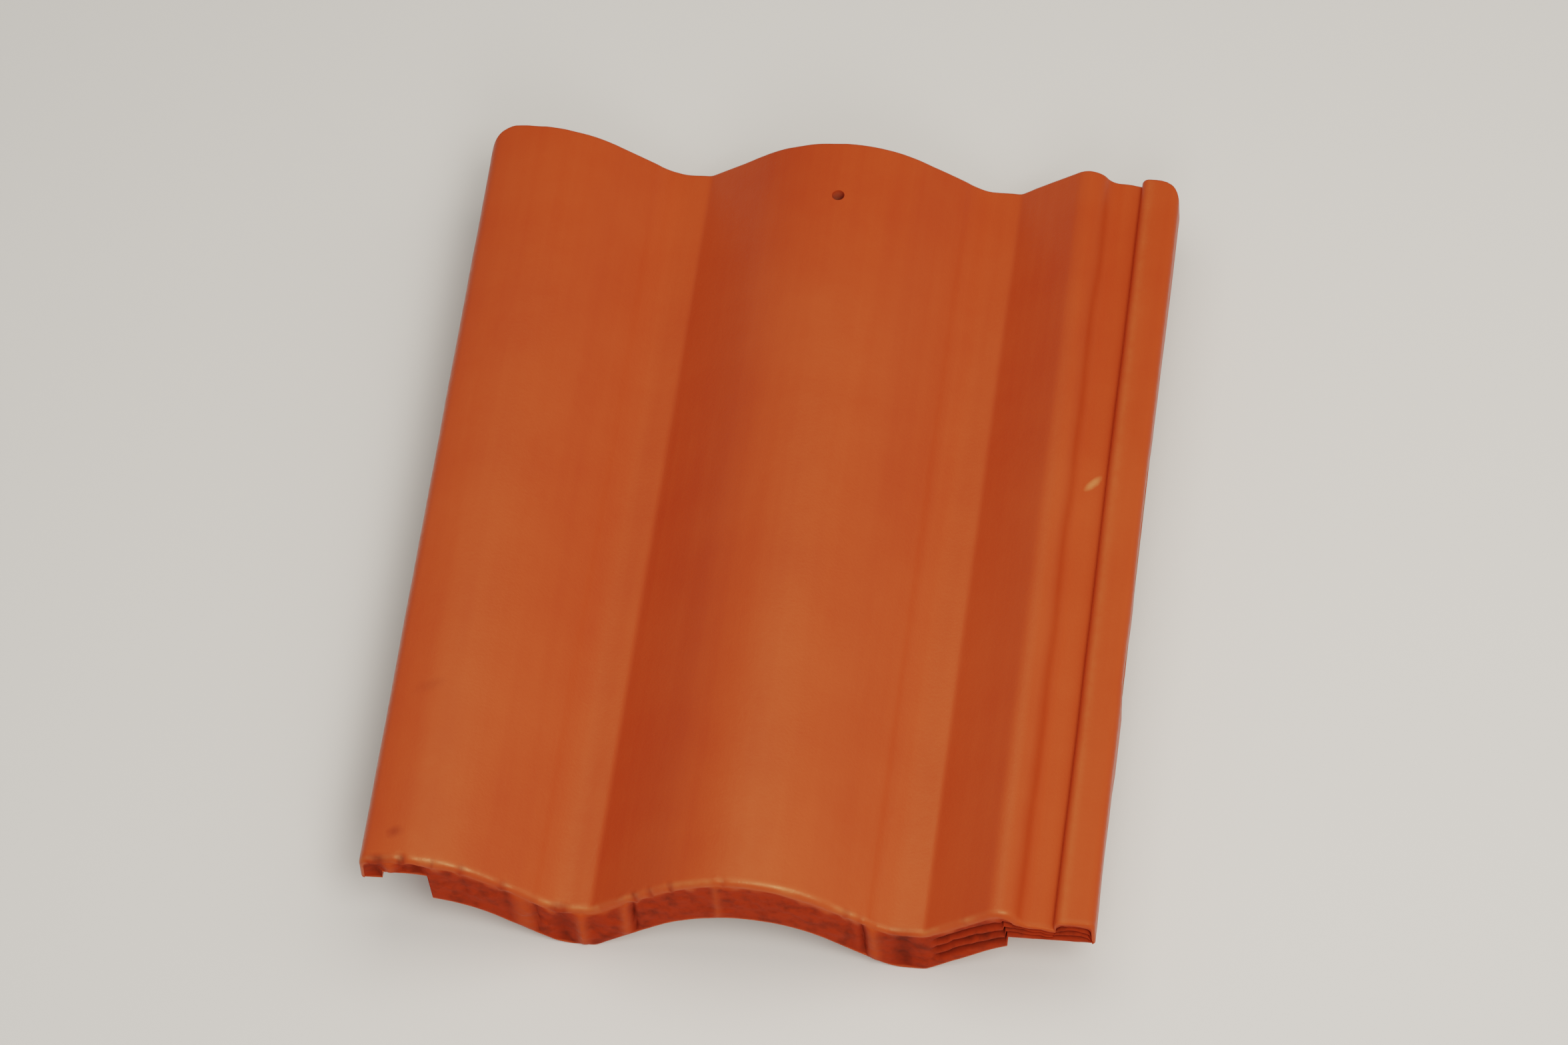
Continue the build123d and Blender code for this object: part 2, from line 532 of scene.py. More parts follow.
@dataclass
class RoofTile:
    """The casting: weather face, side locks, underside with bars and nibs, cut ends and nail hole.

    Sizes are millimetres in the frame of the part: x across, y up the slope to the head, z out of the weather
    face. From common_start to common_end, weather face and underside are both single heights over x. The half
    roll at the right is an arc about the last crest, cut off at the wall.
    """

    name: str = "roof_tile_casting"
    section: RollSection = RollSection()
    finish: CoatedConcrete = CoatedConcrete()
    half_width: float = HALF_WIDTH
    half_length: float = HALF_LENGTH
    thickness: float = 12.0
    pan_top: float = CREST_TOP - RollSection.roll_height
    foot_depth: float = pan_top - thickness
    lock_clearance: float = 1.5
    lap_clearance: float = 1.0
    joint_gap: float = 3.0
    lip_width: float = 10.0
    lip_depth: float = 5.0
    lip_round: float = 6.0
    recess: float = foot_depth + RollSection.roll_height
    lip_bottom: float = recess - lip_depth
    cover_end: float = half_width - SIDE_LAP
    wall: float = cover_end - joint_gap
    joint_round: float = 10.0
    joint_foot: float = 7.0
    common_start: float = -half_width + lip_width + 2.0
    common_end: float = wall - joint_round
    last_crest: float = RollSection.first_crest + 2 * RollSection.pitch
    shelf: float = lip_bottom - lock_clearance
    shelf_fall: float = 1.8
    rib_left: float = cover_end + lip_width + lock_clearance
    rib_top: float = recess - lock_clearance
    rib_round: float = 4.0
    lock_bottom: float = RollSection.roll_height + lap_clearance
    bar_left: float = SIDE_LAP + lock_clearance - half_width
    bar_right: float = wall - lip_round
    tail_bar: float = 14.0
    weather_bar: float = 7.0
    weather_bar_depth: float = 10.0
    weather_bar_starts: tuple[float, ...] = (22.0, 44.0)
    pan_middles: tuple[float, ...] = (
        RollSection.first_crest + RollSection.pitch / 2, RollSection.first_crest + 1.5 * RollSection.pitch,
    )
    nib_half: float = 19.0
    nib_start: float = half_length - 18.0
    nib_round: float = 2.0
    draft: float = 0.8
    head_corner: float = 12.0
    head_squeeze: float = 20.0
    tail_round: float = 3.0
    plain_round: float = 1.2
    hole: tuple[float, float] = (RollSection.first_crest + RollSection.pitch, half_length - 32.0)
    hole_radius: float = 3.0
    hole_lines: tuple[float, ...] = (0.0, 1.0, 2.0, 3.0, 4.2, 5.4, 7.0, 9.0)
    across_step: float = 1.3
    along_step: float = 6.0
    edge_waver: float = 0.55
    edge_fade: float = 7.0
    right_waver: float = 1.2
    right_fade: float = 14.0
    swells: tuple[Relief, ...] = (Relief(0.15, 45.0, 60.0, 1), Relief(0.03, 14.0, 18.0, 2))
    extruder_lines: tuple[Relief, ...] = (Relief(0.006, 2.6, 160.0, 3), Relief(0.012, 7.0, 300.0, 4))
    under_relief: Relief = Relief(0.18, 4.0, 4.0, 21)
    cut_reliefs: tuple[Relief, ...] = (Relief(0.4, 6.0, 5.0, 51), Relief(0.3, 2.6, 2.6, 52))
    step_depth: float = 0.28
    step_start: tuple[float, float] = (-17.5, -16.0)
    step_end: tuple[float, float] = (-8.0, 0.0)
    joint_points: int = 10
    plain_gloss: float = 0.435
    cap_rows: int = 32
    ledge_depth: float = 3.0
    ledges: tuple[float, ...] = (0.24, 0.5, 0.76)
    ledge_start: float = 90.0
    sharp_angle: float = 40.0
    blemishes: tuple[Blemish, ...] = (
        Blemish(-158.0, 4.0, 1.8, -1.4, 0.0),
        Blemish(-151.0, 2.6, 0.2, 1.2, 0.8),
        Blemish(-145.0, 1.8, 1.6, -1.4, 0.0),
        Blemish(-139.0, 3.0, 0.0, -2.2, 0.0),
        Blemish(-118.0, 1.6, 0.9, -0.6, 0.0),
        Blemish(-100.0, 1.8, 1.0, -0.8, 0.0),
        Blemish(-92.5, 4.5, 0.0, 0.5, 0.7),
        Blemish(-87.0, 1.3, 0.2, -1.4, 0.0),
        Blemish(-76.0, 3.2, 1.5, -1.8, 0.0),
        Blemish(-67.0, 2.6, 0.0, 2.4, 0.9),
        Blemish(-55.0, 6.0, 0.0, 1.0, 0.0),
        Blemish(-46.5, 2.4, -0.7, 1.2, 0.9),
        Blemish(-42.5, 1.3, 1.4, -2.0, 0.0),
        Blemish(-4.0, 1.8, -0.3, 0.8, 0.6),
        Blemish(54.7, 1.6, 0.7, -0.8, 0.0),
        Blemish(60.6, 1.3, 0.4, -2.0, 0.0),
        Blemish(65.0, 2.8, -0.2, 1.8, 0.8),
        Blemish(78.0, 4.8, 0.5, -2.2, 0.0),
    )

    def joint_circle(self, crest: float, middle: float, radius: float) -> tuple[float, float]:
        """Circle that rounds the end of a roll, touching the wide arc of its crest from inside.

        Formula: the circle's middle is the difference of the radii away from the middle of the crest's arc.

        Args:
            crest: Place of the crest across.
            middle: Place of the circle's middle across.
            radius: Radius of the circle.

        Returns:
            Height of the circle's middle, and the angle from upright at which the circle meets the arc.
        """
        reach, span = crest - middle, self.section.crest_radius - radius
        base = self.pan_top + self.section.roll_height - self.section.crest_radius
        return base + math.sqrt(span ** 2 - reach ** 2), math.asin(reach / span)

    def left_end(self) -> tuple[Array, Array]:
        """Points of the overlock, left of where weather face and underside share their places across.

        Returns:
            Weather side, up the left edge and round it, and underside, along the lip and into the recess,
            with as many points each, as rows of x and z.
        """
        left = -self.half_width
        middle = left + self.lip_round
        height, meet = self.joint_circle(self.section.first_crest, middle, self.lip_round)
        turn = np.linspace(math.pi, math.pi / 2 + meet, 10)
        side = polyline(left, np.linspace(self.lip_bottom, height, 6)[:-1])
        corner = polyline(middle + self.lip_round * np.cos(turn), height + self.lip_round * np.sin(turn))
        rest_x = np.linspace(corner[-1, 0], self.common_start, 5)[1:-1]
        rest = polyline(rest_x, self.section.height(rest_x, self.pan_top, 0.0))
        weather = np.vstack([side, corner, rest])
        lip_end = left + self.lip_width
        wall_end = lip_end + 0.5
        wall = polyline(np.linspace(lip_end, wall_end, 5), np.linspace(self.lip_bottom, self.recess, 5))[1:]
        roof = polyline(np.linspace(wall_end, self.common_start, 5)[1:-1], self.recess)
        lip = polyline(np.linspace(left, lip_end, len(weather) - len(wall) - len(roof)), self.lip_bottom)
        return weather, np.vstack([lip, wall, roof])

    def right_end(self) -> tuple[Array, Array]:
        """Points of the underlock, right of where weather face and underside share their places across.

        Returns:
            Weather side, softly down to the shelf, over the rib and down the right edge, and underside, with
            as many points each, as rows of x and z.
        """
        middle = self.common_end
        height, _ = self.joint_circle(self.last_crest, middle, self.joint_round)
        apart = self.joint_round + self.joint_foot
        climb = math.asin((self.shelf + self.joint_foot - height) / apart)
        foot = middle + apart * math.cos(climb)
        ribs = self.rib_top - self.rib_round
        outer = self.half_width - self.rib_round
        turns = (
            np.linspace(math.pi / 2, climb, self.joint_points + 1)[1:],
            np.linspace(math.pi + climb, 1.5 * math.pi, 7)[1:],
            np.linspace(math.pi, math.pi / 2, 7),
            np.linspace(math.pi / 2, 0, 7)[1:],
        )
        circles = (
            (middle, height, self.joint_round, turns[0]),
            (foot, self.shelf + self.joint_foot, self.joint_foot, turns[1]),
            (self.rib_left + self.rib_round, ribs, self.rib_round, turns[2]),
            (outer, ribs, self.rib_round, turns[3]),
        )
        joint, fillet, rise, fall = (
            polyline(x + radius * np.cos(turn), z + radius * np.sin(turn)) for x, z, radius, turn in circles
        )
        sink = self.shelf_fall * np.linspace(0, 1, 8)[1:] ** 2
        shelf = polyline(np.linspace(foot, self.rib_left, 8)[1:], self.shelf - sink)
        top = polyline(np.linspace(self.rib_left + self.rib_round, outer, 5)[1:], self.rib_top)
        side = polyline(self.half_width, np.linspace(ribs, self.lock_bottom, 6)[1:])
        weather = np.vstack([joint, fillet, shelf, rise, top, fall, side])
        beyond_bars = np.linspace(self.bar_right, self.half_width, len(weather) - 1)
        under_x = np.concatenate([[self.bar_right - self.draft], beyond_bars])
        return weather, polyline(under_x, self.lock_bottom)

    def weather_height(self, x: Array) -> Array:
        """Height of the weather face over x.

        Formula: the roll line, up to where the circle of the joint's rounding touches it, then that circle.

        Args:
            x: Places across.

        Returns:
            Heights in the shape of the places.
        """
        middle = self.common_end
        height, meet = self.joint_circle(self.last_crest, middle, self.joint_round)
        away = np.clip(np.asarray(x, float) - middle, -self.joint_round, self.joint_round)
        joint = height + np.sqrt(self.joint_round ** 2 - away ** 2)
        started = np.asarray(x) > middle - self.joint_round * math.sin(meet)
        return np.where(started, joint, self.section.height(x, self.pan_top, 0.0))

    def under_height(self, x: Array) -> Array:
        """Height of the plain underside over x.

        Formula: the roll line one thickness inside the weather face, with the recess left of the first crest
        and no higher than the lock's underside right of the second pan's middle.

        Args:
            x: Places across.

        Returns:
            Heights in the shape of the places.
        """
        rolls = self.section.height(x, self.pan_top - self.thickness, self.thickness)
        rolls = np.where(np.asarray(x) < self.section.first_crest, self.recess, rolls)
        return np.where(np.asarray(x) > self.pan_middles[1], np.minimum(rolls, self.lock_bottom), rolls)

    def across(self) -> Array:
        """Works out the places across that weather face and underside share.

        Returns:
            Places, with lines of their own at the hole, the bars, the nibs and the feet of the rolls.
        """
        hole = self.hole[0] + np.outer((-1, 1), self.hole_lines).ravel()
        bars = np.array([self.bar_left - self.draft, self.bar_left])
        nib = self.nib_half + np.array([self.draft, 0.0, -0.6, -self.nib_round])
        nibs = [middle + side * nib for middle in self.pan_middles for side in (-1, 1)]
        kinks = []
        for crest in (self.section.first_crest, self.section.first_crest + self.section.pitch):
            start, end = self.section.rounding(self.section.foot_round, 0.0)
            kinks.append(crest + np.linspace(start, end, 9))
            start, end = self.section.rounding(self.section.kink_round, 0.0)
            kinks.append(crest + self.section.pitch - np.linspace(start, end, 5))
        ends = np.array([self.common_start, self.common_end])
        coarse = np.arange(self.common_start, self.common_end, self.across_step)
        return stations([hole, bars, ends, *nibs, *kinks], coarse, 0.6)

    def along(self) -> Array:
        """Works out the places along the tile.

        Returns:
            Places, close together at the rounded ends, the bars, the nibs and the hole.
        """
        tail = -self.half_length + np.array([0, 0.12, 0.4, 0.85, 1.4, 2.1, 3.0, 4.2, 5.8, 7.8])
        head = self.half_length - np.array([0, 0.1, 0.35, 0.75, 1.2, 2.0, 3.2, 5.0])
        hole = self.hole[1] + np.outer((-1, 1), self.hole_lines).ravel()
        nib = self.nib_start + np.array([-self.draft, 0, 0.6, self.nib_round])
        (_, tail_bar_end, _), *weather_bars = self.bars()
        edges = [np.array([tail_bar_end, tail_bar_end + self.draft])]
        for start, end, _ in weather_bars:
            edges.append(np.array([start - self.draft, start, end, end + self.draft]))
        coarse = np.arange(-self.half_length, self.half_length, self.along_step)
        return stations([tail, head, hole, nib, *edges], coarse, 1.0)

    def bars(self) -> list[tuple[float, float, float]]:
        """Lists the bars across the underside.

        Returns:
            Start, end and depth of the tail bar and then of each weather bar behind it.
        """
        tail = -self.half_length
        bars = [(tail, tail + self.tail_bar, self.foot_depth)]
        for setback in self.weather_bar_starts:
            bars.append((tail + setback, tail + setback + self.weather_bar, self.weather_bar_depth))
        return bars

    def bar_line(self, x: Array, depth: float) -> Array:
        """Underside of a bar over x: the roll line a lap clearance outside the weather face, at its depth."""
        return self.section.height(x, self.pan_top - self.thickness - depth, -self.lap_clearance)

    def underside(self, x: Array, y: Array, plain: Array) -> Array:
        """Height of the underside with its bars and nibs.

        Formula: the plain height is drawn down to each bar's line, or to the floor under a nib, by a weight
        that is one on the bar or nib and falls to nought within the draft of its walls; a nib's foot lifts by
        a circle's arc at its edges.

        Args:
            x: Places across, as a grid.
            y: Places along, as a grid.
            plain: Plain underside heights across, as one row.

        Returns:
            Heights as a grid.
        """
        height = plain
        inside = plateau(x, self.bar_left, self.bar_right - self.draft, self.draft)
        for start, end, depth in self.bars():
            weight = inside * plateau(y, start, end, self.draft)
            height = height + weight * (np.minimum(self.bar_line(x, depth), plain) - plain)
        for middle in self.pan_middles:
            reach = np.minimum(self.nib_half - np.abs(x - middle), y - self.nib_start)
            near = np.clip(self.nib_round - reach, 0.0, self.nib_round)
            foot = self.nib_round - np.sqrt(self.nib_round ** 2 - near ** 2)
            weight = plateau(x, middle - self.nib_half, middle + self.nib_half, self.draft)
            weight = weight * plateau(y, self.nib_start, self.half_length, self.draft)
            height = height + weight * (foot - height)
        return height

    @staticmethod
    def inset(distance: Array, radius: Array) -> Array:
        """How far a rounded end draws in: the radius less a quarter circle's height at that distance."""
        near = np.clip(radius - distance, 0.0, radius)
        return radius - np.sqrt(np.maximum(radius ** 2 - near ** 2, 0.0))

    def to_circle(self, x: Array, y: Array) -> tuple[Array, Array]:
        """Draws the grid's squares round the nail hole into circles.

        Formula: a point whose larger offset from the hole's middle is c and whose distance is e moves along
        its ray by c over e inside the hole, and less and less further out.

        Args:
            x: Places across, as a grid.
            y: Places along, as a grid.

        Returns:
            The moved places.
        """
        off_x, off_y = x - self.hole[0], y - self.hole[1]
        square = np.maximum(np.abs(off_x), np.abs(off_y))
        round_ = np.maximum(np.hypot(off_x, off_y), 1e-9)
        weight = 1 - ramp(square, self.hole_radius, 3 * self.hole_radius)
        factor = 1 + weight * (square / round_ - 1)
        return self.hole[0] + off_x * factor, self.hole[1] + off_y * factor

    def head_line(self, x: Array) -> Array:
        """Where the head ends over x: level, with a quarter circle at each corner."""
        corner = np.clip(np.abs(x) - (self.half_width - self.head_corner), 0.0, self.head_corner)
        return self.half_length - self.head_corner + np.sqrt(self.head_corner ** 2 - corner ** 2)

    def grids(self) -> dict[str, Array]:
        """Works out the points of the weather face, the underside and the two cut ends.

        Formula: each face is a line across the tile carried along it. Near the ends the line draws in along
        its own normals by the end's rounding, and everywhere it moves along them by the casting's unevenness.

        Returns:
            Grids of points by name, in millimetres, and the point values of the finish.
        """
        x, y = self.across(), self.along()
        left_top, left_under = self.left_end()
        right_top, right_under = self.right_end()
        top = np.vstack([left_top, polyline(x, self.weather_height(x)), right_top])
        under = np.vstack([left_under, polyline(x, self.under_height(x)), right_under])
        run = np.gradient(top, axis=0)
        normal = polyline(-run[:, 1], run[:, 0])
        normal = normal / np.linalg.norm(normal, axis=1, keepdims=True)
        lock = ramp(top[:, 0], self.wall - 1.5, self.wall + 0.5)
        tail_radius = self.tail_round + (self.plain_round - self.tail_round) * lock
        tail_radius = tail_radius * (1 + 0.4 * noise(top[:, 0] / 11.0, 0.4, 12))
        y_top, x_top = np.meshgrid(y, top[:, 0], indexing="ij")
        y_under, x_under = np.meshgrid(y, under[:, 0], indexing="ij")
        past_tail, past_head = y_top + self.half_length, self.half_length - y_top
        chips = self.chips(x_top) * (1 - ramp(past_tail, 0.5, 4.5))
        draw = self.inset(past_tail, tail_radius[None, :])
        draw = draw + self.inset(past_head, np.full(1, self.plain_round))
        lift = self.unevenness(x_top, y_top) - draw - chips
        path = np.cumsum(np.hypot(*np.diff(top, axis=0, prepend=top[:1]).T))
        wall_column = len(left_top) + len(x) + self.joint_points - 1
        waver = self.waver(path, path[wall_column], y_top)
        z_top = top[None, :, 1] + normal[None, :, 1] * lift
        x_top = x_top + normal[None, :, 0] * lift + waver
        z_under = self.underside(x_under, y_under, under[None, :, 1])
        z_under = z_under + self.inset(y_under + self.half_length, np.full(1, self.plain_round))
        z_under = np.maximum(z_under + self.under_relief.over(x_under, y_under), 0.0)
        y_top, y_under = self.warp_head(x_top, y_top), self.warp_head(x_under, y_under)
        x_top, y_top = self.to_circle(x_top, y_top)
        x_under, y_under = self.to_circle(x_under, y_under)
        weather = np.stack([x_top, y_top, z_top], axis=-1)
        bottom = np.stack([x_under, y_under, z_under], axis=-1)
        bottom[:, 0], bottom[:, -1] = weather[:, 0], weather[:, -1]
        tail = self.cut_end(weather[0], bottom[0], -1.0)
        head = self.cut_end(weather[-1], bottom[-1], 1.0)
        values = {
            "wear_and_highlight": self.wear_and_highlight(past_tail, top),
            "bared": np.clip(chips / 0.9, 0.0, 1.0),
            "gloss": self.gloss(past_tail, past_head, top),
        }
        return {"weather": weather, "bottom": bottom, "tail": tail, "head": head, **values}

    def waver(self, path: Array, wall: float, y: Array) -> Array:
        """Shifts of the long edges to the side, in millimetres.

        Formula: smooth unevenness along the left edge and the half roll's wall, and hollows along the right
        edge, each fading by exp of minus the distance along the section.

        Args:
            path: Distances along the section from the foot of the left edge.
            wall: Distance of the half roll's wall.
            y: Places along, as a grid.

        Returns:
            Shifts as a grid.
        """
        edge = (np.exp(-path / self.edge_fade) + np.exp(-np.abs(path - wall) / self.edge_fade))[None, :]
        right = np.exp((path - path[-1]) / self.right_fade)[None, :]
        hollow = ramp(noise(y / 34.0, 0.9, 13), -0.4, 0.8)
        return self.edge_waver * edge * noise(y / 26.0, 0.3, 11) - self.right_waver * right * hollow

    def warp_head(self, x: Array, y: Array) -> Array:
        """Squeezes the last stretch of the tile so that it ends at the head's outline.

        Formula: a place moves by the outline's distance from the level head, times its share of the stretch.

        Args:
            x: Places across, as a grid.
            y: Places along, as a grid.

        Returns:
            The moved places along.
        """
        part = np.clip((y - (self.half_length - self.head_squeeze)) / self.head_squeeze, 0.0, 1.0)
        line = self.head_line(x) + 0.35 * noise(x / 9.0, 0.7, 31)
        return y + part * (np.minimum(line, self.half_length) - self.half_length)

    def unevenness(self, x: Array, y: Array) -> Array:
        """Relief of the weather face, in millimetres.

        Formula: slow swells and the extruder's lengthwise lines, less its faint step at each pan.

        Args:
            x: Places across, as a grid.
            y: Places along, as a grid.

        Returns:
            Heights as a grid.
        """
        swell = sum(relief.over(x, y) for relief in self.swells)
        lines = sum(relief.over(x, y) for relief in self.extruder_lines)
        step = 0.0
        for pan in self.pan_middles:
            start, end = pan + np.array(self.step_start), pan + np.array(self.step_end)
            step = step + ramp(x, *start) * (1 - ramp(x, *end))
        return swell + lines - self.step_depth * step

    def chips(self, x: Array) -> Array:
        """How far the tail's edge is broken back over x: a bell at each flaw and small random nicks."""
        nick = 0.9 * ramp(noise(x / 3.2, 0.5, 41), 0.45, 0.95)
        return nick + sum(flaw.chip * flaw.share(x) for flaw in self.blemishes)

    def film(self, x: Array) -> Array:
        """Share of the cut tail that the coat covers over x."""
        share = sum(flaw.film * flaw.share(x) for flaw in self.blemishes)
        return np.clip(share, 0.0, 1.0)

    def cut_end(self, upper: Array, lower: Array, facing: float) -> Array:
        """Points between the upper and the lower edge of a cut end.

        Formula: straight lines between the edges, moved out or in by coarse unevenness that fades at both
        edges; on the tail, flaws stand proud or lie deep and ledges follow the half roll at the right.

        Args:
            upper: Points of the upper edge.
            lower: Points of the lower edge.
            facing: One at the head, minus one at the tail.

        Returns:
            Grid of points, from the upper edge to the lower one.
        """
        part = np.linspace(0.0, 1.0, self.cap_rows + 1)[:, None, None]
        face = upper[None] * (1 - part) + lower[None] * part
        x, z = face[..., 0], face[..., 2]
        fade = np.sin(math.pi * part[..., 0]) ** 0.35
        rough = sum(relief.over(x, z) for relief in self.cut_reliefs)
        if facing < 0:
            rough = rough + sum(flaw.proud * flaw.share(x) for flaw in self.blemishes)
            rough = rough - self.ledge_depth * self.grooves(x, part[..., 0])
        face[..., 1] = face[..., 1] + facing * fade * rough
        return face

    def grooves(self, x: Array, part: Array) -> Array:
        """Grooves between the ledges of the cut tail.

        Formula: a bell about each groove's share of the tail's height, which wavers across the tile, from the
        ledges' start on.

        Args:
            x: Places across, as a grid.
            part: Shares of the tail's height, from its upper edge.

        Returns:
            Shares of the full depth, as a grid.
        """
        level = part + 0.05 * noise(x / 12.0, 0.6, 53)
        begun = ramp(x, self.ledge_start, self.ledge_start + 5.0)
        return begun * sum(hump(level, ledge, 0.06) for ledge in self.ledges)

    def painted_shade_share(self, x: Array, part: Array) -> Array:
        """Share of painted shade on the cut tail: in the grooves between the ledges and in the flaws'
        hollows.
        """
        hollows = sum(max(-flaw.proud, 0.0) * flaw.share(x) for flaw in self.blemishes)
        return np.clip(0.9 * self.grooves(x, part) + 0.25 * hollows, 0.0, 1.0)

    def wear_and_highlight(self, past_tail: Array, top: Array) -> Array:
        """Where the coat is paler: the film thins on edges, and the paler tone stands in as painted
        highlight.

        Formula: bells over the tail's rounding, in patches, and over the edges of the rib and the joint.

        Args:
            past_tail: Distances from the tail, as a grid.
            top: Line of the weather face, as rows of x and z.

        Returns:
            Shares as a grid.
        """
        patches = ramp(noise(top[:, 0] / 9.0, 0.2, 61), 0.0, 0.7)
        tail = hump(past_tail, 1.2, 0.9) * patches
        rib = hump(top[:, 0], self.rib_left + 4.0, 2.2) * (top[:, 1] > self.shelf + 3.0)
        joint = hump(top[:, 0], self.wall - 2.0, 2.0) * (top[:, 1] > self.shelf + 8.0)
        return np.clip(0.6 * tail + 0.25 * (rib + joint)[None, :], 0.0, 1.0)

    def gloss(self, past_tail: Array, past_head: Array, top: Array) -> Array:
        """Share of the coat's sheen.

        Formula: the plain coat's share, dimmed at the very tail and towards the head, raised on the tail's
        rounding, and dimmed again over the lock and at the right edge.

        Args:
            past_tail: Distances from the tail, as a grid.
            past_head: Distances from the head, as a grid.
            top: Line of the weather face, as rows of x and z.

        Returns:
            Shares as a grid.
        """
        tail = 0.3 + 0.7 * ramp(past_tail, 0.4, 2.4)
        edge = (1 - self.plain_gloss) * hump(past_tail, 1.6, 0.9)
        head = 0.4 + 0.6 * ramp(past_head, 0.0, 120.0)
        lock = 1 - 0.6 * ramp(top[:, 0], self.wall - 14.0, self.wall)
        outer = 1 - 0.7 * ramp(top[:, 0], self.half_width - 2.5, self.half_width - 0.5)
        return (self.plain_gloss * tail * head + edge) * (lock * outer)[None, :]

    def build(self) -> bpy.types.Object:
        """Joins the grids into one closed mesh.

        Returns:
            The casting as a Blender object at the origin, linked into the scene.
        """
        grids = self.grids()
        rows, columns = grids["weather"].shape[:2]
        weather = np.arange(rows * columns).reshape(rows, columns)
        bottom = rows * columns + np.arange(rows * (columns - 2)).reshape(rows, columns - 2)
        bottom = np.column_stack([weather[:, 0], bottom, weather[:, -1]])
        start = rows * columns + rows * (columns - 2)
        inner = (self.cap_rows - 1) * (columns - 2)
        caps, quads, triangles = {}, [], []
        for number, (end, row) in enumerate((("tail", 0), ("head", -1))):
            cap = start + number * inner + np.arange(inner).reshape(self.cap_rows - 1, columns - 2)
            caps[end] = np.vstack([weather[row, 1:-1], cap, bottom[row, 1:-1]])
            flip = 1 if row == 0 else -1
            quads.append(self.quads(caps[end], flip))
            for column, corner, turn in ((0, weather[row, 0], -flip), (-1, weather[row, -1], flip)):
                edge = caps[end][:, column]
                fan = np.column_stack([edge[:-1], edge[1:], np.full(self.cap_rows, corner)])
                triangles.append(fan[:, ::turn])
        x, y = self.across(), self.along()
        lead = len(self.left_end()[0])
        span = lead + np.flatnonzero(np.abs(x - self.hole[0]) < self.hole_radius + 1e-6)
        reach = np.flatnonzero(np.abs(y - self.hole[1]) < self.hole_radius + 1e-6)
        drop = np.zeros((rows - 1, columns - 1), bool)
        drop[reach[0]:reach[-1], span[0]:span[-1]] = True
        quads.append(self.quads(weather, -1)[~drop.ravel()])
        quads.append(self.quads(bottom, 1)[~drop.ravel()])
        rings = [self.ring(face[reach[0]:reach[-1] + 1, span[0]:span[-1] + 1]) for face in (weather, bottom)]
        quads.append(np.column_stack([rings[0], np.roll(rings[0], -1), np.roll(rings[1], -1), rings[1]]))
        points = np.concatenate([
            grids["weather"].reshape(-1, 3), grids["bottom"][:, 1:-1].reshape(-1, 3),
            grids["tail"][1:-1, 1:-1].reshape(-1, 3), grids["head"][1:-1, 1:-1].reshape(-1, 3),
        ])
        mesh = bpy.data.meshes.new(self.name)
        faces = np.vstack(quads).tolist() + np.vstack(triangles).tolist()
        mesh.from_pydata((points * MM).tolist(), [], faces)
        self.set_layers(mesh, grids)
        mesh.set_sharp_from_angle(angle=math.radians(self.sharp_angle))
        return add_object(self.name, mesh)

    @staticmethod
    def quads(grid: Array, turn: int) -> Array:
        """Four-sided faces of a grid of point numbers, turned over where turn is minus one."""
        corners = [grid[:-1, :-1], grid[1:, :-1], grid[1:, 1:], grid[:-1, 1:]]
        return np.stack(corners, axis=-1).reshape(-1, 4)[:, ::turn]

    @staticmethod
    def ring(block: Array) -> Array:
        """Point numbers round the border of a block, anticlockwise from its first corner."""
        return np.concatenate([block[0, :-1], block[:-1, -1], block[-1, :0:-1], block[:0:-1, 0]])

    def set_layers(self, mesh: bpy.types.Mesh, grids: dict[str, Array]) -> None:
        """Writes the point values that the finish reads, in the order of the mesh's points.

        Args:
            mesh: The casting's mesh.
            grids: Grids of points and of the weather face's values.
        """
        under = grids["bottom"][:, 1:-1]
        above, below, inner = grids["wear_and_highlight"].size, under[..., 0].size, grids["tail"][1:-1, 1:-1, 0].size
        spray = (1 - ramp(under[..., 1] + self.half_length, 0.0, 9.0)) * 0.9
        tail_x = grids["tail"][1:-1, 1:-1, 0]
        wrap = 0.1 * noise(tail_x / 5.0, 0.8, 71)
        tail_part = np.linspace(0.0, 1.0, self.cap_rows + 1)[1:-1, None]
        tail_cut = ramp(tail_part + wrap, -0.05, 0.12) * (1 - self.film(tail_x))
        # Painted shade in the tail's grooves and in the flaws' hollows.
        painted_shade = self.painted_shade_share(tail_x, tail_part)
        none_inside, none_below = np.zeros(inner), np.zeros(below)
        layers = {
            Layer.COAT: [np.ones(above), spray, np.ones(inner), np.full(inner, 0.55)],
            Layer.WEAR_AND_HIGHLIGHT: [grids["wear_and_highlight"], none_below, none_inside, none_inside],
            Layer.CUT: [grids["bared"], none_below, tail_cut, np.full(inner, 0.8)],
            Layer.GLOSS: [grids["gloss"], none_below, none_inside, none_inside],
            Layer.PAINTED_SHADE: [np.zeros(above), none_below, painted_shade, none_inside],
        }
        for layer, parts in layers.items():
            values = np.concatenate([part.ravel() for part in parts])
            attribute = mesh.attributes.new(layer.value, "FLOAT", "POINT")
            attribute.data.foreach_set("value", values.astype(np.float32))

    def dress(self, casting: bpy.types.Object) -> None:
        """Gives the casting its finish and its place in the frame.

        Args:
            casting: The object that build made.
        """
        casting.data.materials.append(self.finish.build())
        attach(casting, "root")
        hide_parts("roof_tile")


@dataclass(frozen=True)
class SoftLight:
    """A square studio light: its place, aim and width in metres, its power in watts and its colour."""

    name: str
    place: tuple[float, float, float]
    aim: tuple[float, float, float]
    width: float
    power: float
    tint: str

    def build(self) -> None:
        """Adds the light to the scene."""
        data = bpy.data.lights.new(self.name, "AREA")
        data.shape = "SQUARE"
        data.size = self.width
        data.energy = self.power
        data.color = linear(self.tint)[:3]
        light = add_object(self.name, data)
        light.location = self.place
        light.rotation_euler = (Vector(self.aim) - Vector(self.place)).to_track_quat("-Z", "Y").to_euler()


